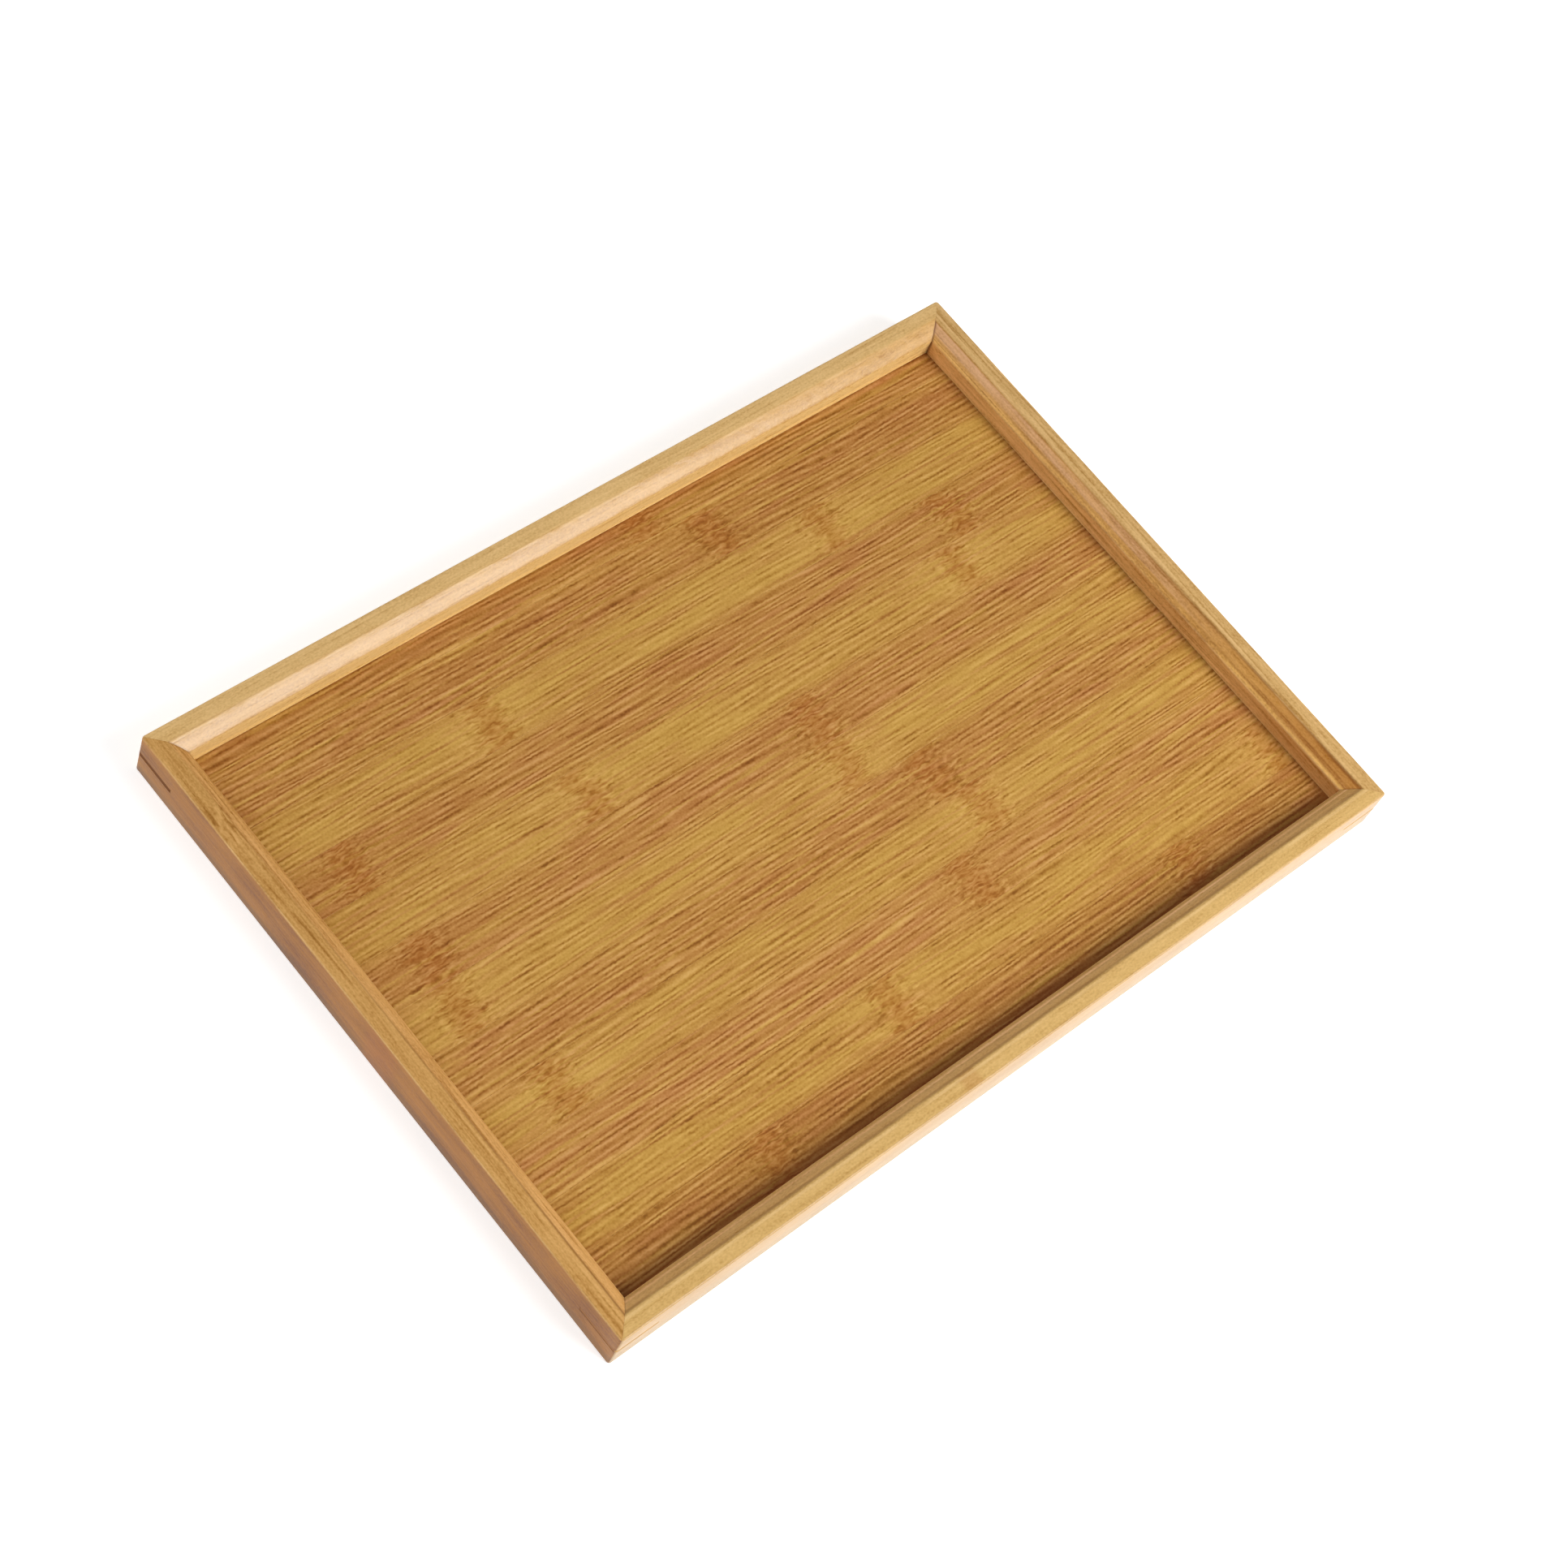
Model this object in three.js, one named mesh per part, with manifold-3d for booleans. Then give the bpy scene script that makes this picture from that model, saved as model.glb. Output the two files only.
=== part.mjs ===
// A shallow bamboo serving tray: four mitred rails, a key across each mitre and a floor of edge-glued strips.
// Millimetres, +Z up. The origin is on the table under the middle of the tray. +X runs along the long side.

import * as THREE from 'three';
import { mergeVertices } from 'three/addons/utils/BufferGeometryUtils.js';
import Module from 'manifold-3d';

// Driving dimensions

const TRAY_LENGTH = 360;
const TRAY_WIDTH = 250;
const RAIL_HEIGHT = 20;
const TOP_WIDTH = 6;
const CHAMFER_WIDTH = 5.5;
const CHAMFER_DROP = 4.1;
const CORNER_RADIUS = 1.2;
const OUTER_ARRIS = 0.8;
const INNER_ARRIS = 0.5;

const FLOOR_LIFT = 4.5;
const FLOOR_THICKNESS = 4;
const GROOVE_DEPTH = 5;
const STRIP_WIDTH = 19.7;
const BACK_STRIP_WIDTH = 15.1;

const KEY_THICKNESS = 1.5;
const KEY_LEDGE = 1;
const KEY_COVER = 3.7;

// Clearances: glue lines, and the room that the floor has in its groove

const MITRE_GLUE = 0.3;
const STRIP_GLUE = 0.1;
const KEY_GLUE = 0.15;
const FLOOR_FIT = 0.15;
const FLOOR_EDGE_ROOM = 0.4;

// How far a cutting shape runs past the piece that it cuts, and the steps in a rounded edge

const CUT_OVERRUN = 2;
const ARC_STEPS = 3;

// Colours and finish

const RAIL_COLOUR = 0xd0a564;
const KEY_COLOUR = 0x8a5f38;
const BROWN_STRIP_COLOUR = 0xb47a40;
const YELLOW_STRIP_COLOUR = 0xc49a4c;
const RAIL_ROUGHNESS = 0.38;
const FLOOR_ROUGHNESS = 0.45;
const KEY_ROUGHNESS = 0.6;

// Derived places

const railWidth = TOP_WIDTH + CHAMFER_WIDTH;
const grooveBottom = FLOOR_LIFT - FLOOR_FIT;
const grooveTop = FLOOR_LIFT + FLOOR_THICKNESS + FLOOR_FIT;
const tongue = GROOVE_DEPTH - FLOOR_EDGE_ROOM;
const floorLength = TRAY_LENGTH - 2 * railWidth + 2 * tongue;
const floorWidth = TRAY_WIDTH - 2 * railWidth + 2 * tongue;
const kerfBottom = grooveTop + KEY_LEDGE;
const kerfHeight = KEY_THICKNESS + 2 * KEY_GLUE;
const kerfLeg = 2 * railWidth - KEY_COVER * Math.SQRT2;
const keyLeg = kerfLeg - KEY_GLUE * Math.SQRT2;
const mitreSetBack = (MITRE_GLUE / 2) * Math.SQRT2;

const wasm = await Module();
wasm.setup();

// Solids for cutting, made from closed meshes and turned back into meshes

function toSolid(geometry) {
  const bare = geometry.clone();
  bare.deleteAttribute('normal');
  bare.deleteAttribute('uv');
  const merged = mergeVertices(bare);
  const vertProperties = new Float32Array(merged.attributes.position.array);
  const triVerts = new Uint32Array(merged.index.array);
  return new wasm.Manifold(new wasm.Mesh({ numProp: 3, vertProperties, triVerts }));
}

function toGeometry(solid) {
  const mesh = solid.getMesh();
  const geometry = new THREE.BufferGeometry();
  geometry.setAttribute('position', new THREE.BufferAttribute(mesh.vertProperties, 3));
  geometry.setIndex(new THREE.BufferAttribute(mesh.triVerts, 1));
  const faceted = geometry.toNonIndexed();
  faceted.computeVertexNormals();
  return faceted;
}

function extrude(shape, depth) {
  return new THREE.ExtrudeGeometry(shape, { depth, bevelEnabled: false, curveSegments: ARC_STEPS });
}

// A closed outline from corners given as [x, y, arris], where arris is how far the corner is eased along each side

function easedShape(corners) {
  const shape = new THREE.Shape();
  corners.forEach(([x, y, arris], i) => {
    const corner = new THREE.Vector2(x, y);
    const before = new THREE.Vector2(...corners.at(i - 1));
    const after = new THREE.Vector2(...corners[(i + 1) % corners.length]);
    const start = before.sub(corner).setLength(arris).add(corner);
    const end = after.sub(corner).setLength(arris).add(corner);
    if (i === 0) {
      shape.moveTo(start.x, start.y);
    } else {
      shape.lineTo(start.x, start.y);
    }
    if (arris > 0) {
      shape.quadraticCurveTo(corner.x, corner.y, end.x, end.y);
    }
  });
  shape.closePath();
  return shape;
}

// The moulding's section: x runs in from the outer face, y runs up from the table

function railSection() {
  return easedShape([
    [0, 0, OUTER_ARRIS],
    [railWidth, 0, INNER_ARRIS],
    [railWidth, grooveBottom, 0],
    [railWidth - GROOVE_DEPTH, grooveBottom, 0],
    [railWidth - GROOVE_DEPTH, grooveTop, 0],
    [railWidth, grooveTop, 0],
    [railWidth, RAIL_HEIGHT - CHAMFER_DROP, INNER_ARRIS],
    [TOP_WIDTH, RAIL_HEIGHT, INNER_ARRIS],
    [0, RAIL_HEIGHT, OUTER_ARRIS],
  ]);
}

// The rail seen from above, with its outer face on y = 0: 45 degree mitres and rounded outer corners

function mitredPlan(length) {
  const half = length / 2;
  const flat = half - CORNER_RADIUS;
  const arcEnd = Math.PI / 4 - Math.acos(-mitreSetBack / (CORNER_RADIUS * Math.SQRT2));
  const innerY = railWidth + CUT_OVERRUN;
  const innerX = half - mitreSetBack - innerY;
  const plan = new THREE.Shape();
  plan.moveTo(-flat, -CUT_OVERRUN);
  plan.lineTo(flat, -CUT_OVERRUN);
  plan.lineTo(flat, 0);
  plan.absarc(flat, CORNER_RADIUS, CORNER_RADIUS, -Math.PI / 2, arcEnd, false);
  plan.lineTo(innerX, innerY);
  plan.lineTo(-innerX, innerY);
  plan.absarc(-flat, CORNER_RADIUS, CORNER_RADIUS, Math.PI - arcEnd, Math.PI * 1.5, false);
  plan.closePath();
  return plan;
}

// The saw kerf for a key, at the end of a rail given by side: 1 for +X, -1 for -X

function kerf(length, side) {
  const corner = side * (length / 2);
  const tip = corner - side * (kerfLeg + CUT_OVERRUN);
  const past = corner + side * CUT_OVERRUN;
  const shape = new THREE.Shape();
  shape.moveTo(tip, -CUT_OVERRUN);
  shape.lineTo(past, -CUT_OVERRUN);
  shape.lineTo(past, kerfLeg + CUT_OVERRUN);
  shape.closePath();
  return toSolid(extrude(shape, kerfHeight).translate(0, 0, kerfBottom));
}

// A rail along X with its outer face on y = 0, facing -Y

function railGeometry(length) {
  const moulding = extrude(railSection(), length).translate(0, 0, -length / 2);
  const alongX = new THREE.Matrix4().makeBasis(
    new THREE.Vector3(0, 1, 0),
    new THREE.Vector3(0, 0, 1),
    new THREE.Vector3(1, 0, 0),
  );
  moulding.applyMatrix4(alongX);
  const plan = extrude(mitredPlan(length), RAIL_HEIGHT + 2 * CUT_OVERRUN).translate(0, 0, -CUT_OVERRUN);
  const mitred = toSolid(moulding).intersect(toSolid(plan));
  return toGeometry(mitred.subtract(kerf(length, 1)).subtract(kerf(length, -1)));
}

// A key with its square corner at the origin, its legs along +X and +Y and its underside on z = 0

function keyGeometry() {
  const shape = new THREE.Shape();
  shape.moveTo(CORNER_RADIUS, 0);
  shape.lineTo(keyLeg, 0);
  shape.lineTo(0, keyLeg);
  shape.lineTo(0, CORNER_RADIUS);
  shape.absarc(CORNER_RADIUS, CORNER_RADIUS, CORNER_RADIUS, Math.PI, Math.PI * 1.5, false);
  shape.closePath();
  return extrude(shape, KEY_THICKNESS);
}

function wood(color, roughness) {
  return new THREE.MeshStandardMaterial({ color, roughness, metalness: 0 });
}

function piece(name, geometry, material) {
  const mesh = new THREE.Mesh(geometry, material);
  mesh.name = name;
  return mesh;
}

// The rim

function addRails(tray) {
  const sides = [
    { name: 'front_rail', length: TRAY_LENGTH, x: 0, y: -TRAY_WIDTH / 2, turn: 0 },
    { name: 'right_rail', length: TRAY_WIDTH, x: TRAY_LENGTH / 2, y: 0, turn: Math.PI / 2 },
    { name: 'back_rail', length: TRAY_LENGTH, x: 0, y: TRAY_WIDTH / 2, turn: Math.PI },
    { name: 'left_rail', length: TRAY_WIDTH, x: -TRAY_LENGTH / 2, y: 0, turn: -Math.PI / 2 },
  ];
  for (const { name, length, x, y, turn } of sides) {
    const rail = piece(name, railGeometry(length), wood(RAIL_COLOUR, RAIL_ROUGHNESS));
    rail.position.set(x, y, 0);
    rail.rotation.z = turn;
    tray.add(rail);
  }
}

// The corner keys, flush with the outer faces

function addKeys(tray) {
  const corners = [
    { name: 'key_front_left', x: -TRAY_LENGTH / 2, y: -TRAY_WIDTH / 2, turn: 0 },
    { name: 'key_front_right', x: TRAY_LENGTH / 2, y: -TRAY_WIDTH / 2, turn: Math.PI / 2 },
    { name: 'key_back_right', x: TRAY_LENGTH / 2, y: TRAY_WIDTH / 2, turn: Math.PI },
    { name: 'key_back_left', x: -TRAY_LENGTH / 2, y: TRAY_WIDTH / 2, turn: -Math.PI / 2 },
  ];
  for (const { name, x, y, turn } of corners) {
    const key = piece(name, keyGeometry(), wood(KEY_COLOUR, KEY_ROUGHNESS));
    key.position.set(x, y, kerfBottom + KEY_GLUE);
    key.rotation.z = turn;
    tray.add(key);
  }
}

// The floor: strips from the back to the front. The back strip is ripped to a stated width, and the front strip
// takes what is left of the board, between half a strip and one and a half. Brown and yellow strips take turns
// after the back one.

function addFloor(tray) {
  const stripCount = 1 + Math.round((floorWidth - BACK_STRIP_WIDTH) / STRIP_WIDTH);
  const backEdge = floorWidth / 2;
  const edges = [backEdge];
  for (let i = 0; i < stripCount - 1; i += 1) {
    edges.push(backEdge - BACK_STRIP_WIDTH - i * STRIP_WIDTH);
  }
  edges.push(-backEdge);
  for (let i = 0; i < stripCount; i += 1) {
    const back = edges[i] - (i > 0 ? STRIP_GLUE / 2 : 0);
    const front = edges[i + 1] + (i < stripCount - 1 ? STRIP_GLUE / 2 : 0);
    const geometry = new THREE.BoxGeometry(floorLength, back - front, FLOOR_THICKNESS);
    const yellow = i > 0 && i % 2 === 0;
    const colour = yellow ? YELLOW_STRIP_COLOUR : BROWN_STRIP_COLOUR;
    const number = String(i + 1).padStart(2, '0');
    const strip = piece(`floor_strip_${number}`, geometry, wood(colour, FLOOR_ROUGHNESS));
    strip.position.set(0, (back + front) / 2, FLOOR_LIFT + FLOOR_THICKNESS / 2);
    tray.add(strip);
  }
}

const tray = new THREE.Group();
addRails(tray);
addKeys(tray);
addFloor(tray);

export default tray;
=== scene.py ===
"""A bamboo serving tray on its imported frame: lacquered rails, corner keys and a floor of glued strips."""

import math
from collections import namedtuple

import bmesh
import bpy
from mathutils import Matrix, Vector, noise


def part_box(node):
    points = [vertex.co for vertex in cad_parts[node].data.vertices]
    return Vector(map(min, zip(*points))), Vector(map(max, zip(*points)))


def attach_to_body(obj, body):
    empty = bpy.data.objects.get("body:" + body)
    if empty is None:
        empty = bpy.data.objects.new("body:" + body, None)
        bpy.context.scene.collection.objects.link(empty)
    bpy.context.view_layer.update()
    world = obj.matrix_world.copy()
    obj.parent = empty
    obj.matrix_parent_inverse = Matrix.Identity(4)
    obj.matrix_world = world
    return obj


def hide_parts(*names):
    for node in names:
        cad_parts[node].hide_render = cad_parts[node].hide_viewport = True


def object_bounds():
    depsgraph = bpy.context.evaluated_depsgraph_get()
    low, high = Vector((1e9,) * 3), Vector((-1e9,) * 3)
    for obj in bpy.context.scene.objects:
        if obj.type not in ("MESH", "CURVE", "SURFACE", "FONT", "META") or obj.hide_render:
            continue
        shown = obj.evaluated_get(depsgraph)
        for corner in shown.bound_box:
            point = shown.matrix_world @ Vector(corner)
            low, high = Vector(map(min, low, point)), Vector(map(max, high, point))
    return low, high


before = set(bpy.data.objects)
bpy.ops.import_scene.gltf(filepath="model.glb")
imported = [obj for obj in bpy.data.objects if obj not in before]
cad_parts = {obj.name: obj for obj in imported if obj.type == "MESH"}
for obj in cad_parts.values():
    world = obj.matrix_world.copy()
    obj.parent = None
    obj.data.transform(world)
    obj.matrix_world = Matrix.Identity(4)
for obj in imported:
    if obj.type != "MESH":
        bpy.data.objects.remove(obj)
cad_low, cad_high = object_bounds()

MM = 0.001

# The camera: angles in degrees, lengths in metres, lens in millimetres

VIEW_AZIMUTH = -64.12
VIEW_ELEVATION = 56.17
VIEW_ROLL = 27.57
VIEW_DISTANCE = 1.1662
VIEW_AIM = Vector((0.0039, 0.0029, 0.0))
LENS = 77.73
SENSOR = 36.0

# The moulding's section, in millimetres

TOP_WIDTH = 6.0
CHAMFER_DROP = 4.1
GROOVE_DEPTH = 5.0
GROOVE_FIT = 0.15
CORNER_RADIUS = 1.2
OUTER_ARRIS = 0.8
INNER_ARRIS = 0.5
CHAMFER_CROWN = 0.32

# The sanding's unevenness: its share of an arris, and how fast it changes from one station to the next

ARRIS_WANDER = 0.3
OUTER_WANDER_STEP = 0.37
INNER_WANDER_STEP = 0.29
INNER_WANDER_PLACE = 9.0

# How finely the rails are divided: steps round an arris, over the crown and round a corner, millimetres along

ARRIS_STEPS = 5
CROWN_STEPS = 6
CORNER_STEPS = 4
STATION_STEP = 6.0

# The corner keys, in millimetres

KEY_COVER = 3.7
KEY_GLUE = 0.12
KEY_RECESS = 0.04
KEY_EASE = 0.04
CUT_OVERRUN = 2.0

# The floor strips, in millimetres, and how finely they are divided along, round a knuckle and across

STRIP_EASE = 0.06
STRIP_GLUE = 0.1
STRIP_SEAM = 0.02
KNUCKLE_RIDGE = 0.04
KNUCKLE_RIDGE_WIDTH = 2.2
STRIP_STEPS = 40
KNUCKLE_STEPS = 4
ACROSS_STEPS = 10

# The floor strips from the back to the front: how much paler each is than the usual one, and where the
# bamboo's knuckles cross it, along X in millimetres

STRIPS = [
    (0.0, (23,)),
    (-0.02, (44,)),
    (0.0, (-74, 83)),
    (0.0, (-147, 128)),
    (0.01, (-62, 115)),
    (0.03, (-145, 25)),
    (0.01, (-148, 23)),
    (0.01, (47,)),
    (0.0, (-137, 54)),
    (0.06, (31,)),
    (-0.04, (-24, 165)),
    (-0.09, (-94, 103)),
]
FIRST_STRIP_SEED = 1.0
STRIP_SEED_STEP = 1.37

SHARP_ANGLE = math.radians(32)

# Sizes read from the frame, in millimetres

tray_length = (cad_high.x - cad_low.x) / MM
tray_width = (cad_high.y - cad_low.y) / MM
rail_height = (cad_high.z - cad_low.z) / MM
front_low, front_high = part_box("front_rail")
rail_width = (front_high.y - front_low.y) / MM
strip_low, strip_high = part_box("floor_strip_02")
floor_bottom = strip_low.z / MM
floor_top = strip_high.z / MM
chamfer_foot = rail_height - CHAMFER_DROP


def colour(red, green, blue):
    """A linear colour with alpha from the usual 0 to 255 values."""

    def linear(value):
        share = value / 255
        return share / 12.92 if share <= 0.04045 else ((share + 0.055) / 1.055) ** 2.4

    return (linear(red), linear(green), linear(blue), 1.0)


# Node graphs

# One layer of grain: the length and the width of a fleck in millimetres, the layer's own seed, the noise's
# detail, and its full swing: millimetres where it bends the fibres, shares of a tone elsewhere

Layer = namedtuple("Layer", "length width seed detail swing", defaults=(1.0, 1.0))


def seed_place(seed):
    """A far-off place in the noise for each seed, so that no two pieces repeat."""
    return (seed * 17.31, seed * 5.77, seed * 11.93)


class Graph:
    """A material's node tree, with short calls for the nodes that the woods need."""

    def __init__(self, name):
        self.material = bpy.data.materials.new(name)
        self.material.use_nodes = True
        self.tree = self.material.node_tree
        self.tree.nodes.clear()
        self.shader = self.node("ShaderNodeBsdfPrincipled")

    def node(self, kind, **settings):
        made = self.tree.nodes.new(kind)
        for key, value in settings.items():
            setattr(made, key, value)
        return made

    def feed(self, socket, value):
        if isinstance(value, bpy.types.NodeSocket):
            self.tree.links.new(value, socket)
        else:
            socket.default_value = value

    def maths(self, operation, *values):
        made = self.node("ShaderNodeMath", operation=operation)
        for socket, value in zip(made.inputs, values):
            self.feed(socket, value)
        return made.outputs[0]

    def product(self, first, *others):
        for other in others:
            first = self.maths("MULTIPLY", first, other)
        return first

    def total(self, first, *others):
        for other in others:
            first = self.maths("ADD", first, other)
        return first

    def most(self, first, *others):
        for other in others:
            first = self.maths("MAXIMUM", first, other)
        return first

    def line(self, value, slope, start):
        """start plus slope times value."""
        return self.maths("MULTIPLY_ADD", value, slope, start)

    def less(self, value, share):
        """1 where value is 0, and lower by share where value is 1."""
        return self.line(value, -share, 1.0)

    def away(self, value, at):
        """How far value is from at, on either side."""
        return self.maths("ABSOLUTE", self.maths("SUBTRACT", value, at))

    def vector(self, operation, *values):
        made = self.node("ShaderNodeVectorMath", operation=operation)
        for socket, value in zip(made.inputs, values):
            self.feed(socket, value)
        return made.outputs[0]

    def scaled(self, vector, share):
        made = self.node("ShaderNodeVectorMath", operation="SCALE")
        self.feed(made.inputs[0], vector)
        self.feed(made.inputs["Scale"], share)
        return made.outputs[0]

    def distance(self, place, point):
        made = self.node("ShaderNodeVectorMath", operation="DISTANCE")
        self.feed(made.inputs[0], place)
        self.feed(made.inputs[1], point)
        return made.outputs["Value"]

    def split(self, vector):
        made = self.node("ShaderNodeSeparateXYZ")
        self.feed(made.inputs[0], vector)
        return made.outputs

    def join(self, x, y, z):
        made = self.node("ShaderNodeCombineXYZ")
        for socket, value in zip(made.inputs, (x, y, z)):
            self.feed(socket, value)
        return made.outputs[0]

    def band(self, value, zero_at, one_at):
        """0 at zero_at, 1 at one_at and beyond, with a soft step between."""
        made = self.node("ShaderNodeMapRange", interpolation_type="SMOOTHSTEP")
        self.feed(made.inputs["Value"], value)
        made.inputs["From Min"].default_value = zero_at
        made.inputs["From Max"].default_value = one_at
        return made.outputs["Result"]

    def span(self, value, reach, ends):
        """A straight change from the first of ends at -reach to the second at reach."""
        made = self.node("ShaderNodeMapRange")
        self.feed(made.inputs["Value"], value)
        made.inputs["From Min"].default_value = -reach
        made.inputs["From Max"].default_value = reach
        made.inputs["To Min"].default_value = ends[0]
        made.inputs["To Max"].default_value = ends[1]
        return made.outputs["Result"]

    def blend(self, share, first, second):
        made = self.node("ShaderNodeMix", data_type="RGBA")
        self.feed(made.inputs["Factor"], share)
        self.feed(made.inputs[6], first)
        self.feed(made.inputs[7], second)
        return made.outputs[2]

    def ramp(self, value, tones):
        """A colour from a row of tones, evenly spread from 0 to 1."""
        made = self.node("ShaderNodeValToRGB")
        elements = made.color_ramp.elements
        elements.remove(elements[1])
        elements[0].position = 0.0
        elements[0].color = tones[0]
        for index, tone in enumerate(tones[1:], start=1):
            elements.new(index / (len(tones) - 1)).color = tone
        self.feed(made.inputs[0], value)
        return made.outputs[0]

    def sum(self, parts, start):
        """start, plus each part's swing about 0.5 times its weight."""
        total = start - sum(weight for part, weight in parts) / 2
        for part, weight in parts:
            total = self.line(part, weight, total)
        return total

    def fibres(self, place, layer, seed):
        """Noise from 0 to 1, drawn out along X."""
        scale = (1 / layer.length, 1 / layer.width, 1 / layer.width)
        drawn = self.vector("MULTIPLY_ADD", place, scale, seed_place(seed + layer.seed))
        made = self.node("ShaderNodeTexNoise", noise_dimensions="3D")
        self.feed(made.inputs["Vector"], drawn)
        made.inputs["Scale"].default_value = 1.0
        made.inputs["Detail"].default_value = layer.detail
        return made.outputs[0]

    def swing(self, place, layer, seed):
        """The layer's noise, turned to swing about 0."""
        return self.line(self.fibres(place, layer, seed), layer.swing, -layer.swing / 2)

    def local_place(self, matrix_place, turn):
        """The piece's own coordinates in millimetres: X along the grain, Y across, Z up."""
        coordinates = self.node("ShaderNodeTexCoord")
        mapping = self.node("ShaderNodeMapping", vector_type="TEXTURE")
        self.feed(mapping.inputs["Vector"], coordinates.outputs["Object"])
        mapping.inputs["Location"].default_value = matrix_place
        mapping.inputs["Rotation"].default_value = (0.0, 0.0, turn)
        mapping.inputs["Scale"].default_value = (MM, MM, MM)
        return mapping.outputs[0]

    def finish(self, base, roughness, specular, height=None, depth=0.0, coat=0.0, coat_roughness=0.0):
        """The surface, with depth as the millimetres that a height of 1 stands up."""
        if height is not None:
            bump = self.node("ShaderNodeBump")
            bump.inputs["Strength"].default_value = 1.0
            bump.inputs["Distance"].default_value = depth * MM
            self.feed(bump.inputs["Height"], height)
            self.feed(self.shader.inputs["Normal"], bump.outputs[0])
        self.feed(self.shader.inputs["Base Color"], base)
        self.feed(self.shader.inputs["Roughness"], roughness)
        self.shader.inputs["Specular IOR Level"].default_value = specular
        self.shader.inputs["Coat Weight"].default_value = coat
        self.shader.inputs["Coat Roughness"].default_value = coat_roughness
        output = self.node("ShaderNodeOutputMaterial")
        self.feed(output.inputs["Surface"], self.shader.outputs[0])
        return self.material


# The floor's wood

# The tones of a strip from its darkest fibres to its palest ones

BROWN = (
    colour(129, 75, 22),
    colour(154, 97, 38),
    colour(175, 119, 58),
    colour(193, 139, 77),
    colour(206, 154, 93),
)
YELLOW = (
    colour(143, 97, 29),
    colour(170, 122, 47),
    colour(191, 146, 68),
    colour(205, 161, 82),
    colour(216, 172, 95),
)
STAINED = (
    colour(126, 68, 22),
    colour(150, 90, 38),
    colour(172, 111, 58),
    colour(190, 130, 76),
    colour(204, 147, 92),
)
KNUCKLE_TONE = colour(168, 96, 36)
# painted shade: the dark red-brown the floor turns where the rails shade it
PAINTED_SHADE_TONE = colour(106, 42, 12)

# A knuckle: how it wanders across the strip and from fibre to fibre, and the distances at which its masks
# begin and are full

KNUCKLE_WANDER = Layer(400, 4, 0.7, 1.0, 9.0)
KNUCKLE_COMB = Layer(400, 0.8, 2.6, 0.0, 14.0)
KNUCKLE_SEED_STEP = 3.1
KNUCKLE_CORE = (8.0, 1.5)
KNUCKLE_ZONE = (16.0, 4.0)
KNUCKLE_HALO = (26.0, 9.0)
KNUCKLE_TINT = 0.33

# Painted shade on the floor along the rails' feet, and the front rail's painted shadow: how far over the
# floor in millimetres, and how much it darkens

END_PAINTED_SHADE = (2.5, 0.24)
BACK_PAINTED_SHADE = (2.0, 0.2)
FRONT_PAINTED_SHADOW = (7.5, 0.6)

# Layers that bend the fibres, then layers that set their tone, then layers that mix the two woods

STRIP_WRIGGLE = Layer(5, 3.5, 0.31, 1.0, 2.0)
STRIP_SWAY = Layer(90, 9, 0.53, 0.0, 2.4)
STRIP_RAGGED = Layer(1.2, 1.0, 0.77, 0.0, 0.5)
ROW_DRIFT = Layer(60, 5, 12.4, 1.0, 3.8)
STRIP_BANDS = Layer(130, 3.6, 1.3, 1.0, 0.15)
STRIP_STREAKS = Layer(16, 1.2, 5.9, 0.0, 0.3)
STRIP_GRAIN = Layer(0.8, 0.8, 9.4, 0.0, 0.36)
STRIP_SPECKS = Layer(2.8, 0.8, 7.3, 0.0, 1.25)
ROW_BREAKS = Layer(8, 2.0, 6.6)
ROW_FLICKER = Layer(1.6, 2.2, 14.9, 0.0, 0.9)
STRIP_PATCHES = Layer(45, 7, 2.7)
EDGE_MIXING = Layer(30, 4, 3.3)
STRIP_VEINS = Layer(60, 1.8, 15.7)
STRIP_STAIN = Layer(30, 4.5, 11.8)

# The noise values between which a layer's mask goes from 0 to 1

PATCH_LIMITS = (0.36, 0.6)
BREAK_LIMITS = (0.32, 0.68)
VEIN_LIMITS = (0.52, 0.68)
STAIN_LIMITS = (0.5, 0.7)

# Rows of vessels along the strip: millimetres apart, then what a dark row and a pale one do to the tone

ROW_SPACING = 2.05
DARK_ROW = -0.58
DARK_ROW_POWER = 2.0
PALE_ROW = 0.32
PALE_ROW_POWER = 4.0
ROW_MIDDLE = 0.13
ROW_LEAST = 0.15
ROW_LOSS_AT_KNUCKLE = 0.45
ROW_LOSS_IN_PATCH = 0.4

STRIP_TONE = 0.56
YELLOW_HALO_TONE = 0.1
SPECK_TONE = -0.065

# Shares of the other wood and of the stain, and how far the other wood reaches in from a strip's edges

EDGE_REACH = 9.0
EDGE_SHARE = 0.45
PATCH_SHARE = 0.3
VEIN_SHARE = 0.7
YELLOW_STAIN = 0.3
BROWN_STAIN = 0.6

STRIP_ROUGHNESS = 0.56
PALE_STRIP_ROUGHNESS = 0.44
STRIP_RELIEF = 0.05
STRIP_SPECULAR = 0.2


def knuckle(graph, place, at, seed):
    """Masks round a knuckle at X = at: its tinted core, its wriggling fibres and the clear wood beyond."""
    wander = graph.swing(place, KNUCKLE_WANDER, seed)
    comb = graph.swing(place, KNUCKLE_COMB, seed)
    away = graph.away(graph.total(graph.split(place)[0], wander, comb), at)
    return [graph.band(away, *reach) for reach in (KNUCKLE_CORE, KNUCKLE_ZONE, KNUCKLE_HALO)]


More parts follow.
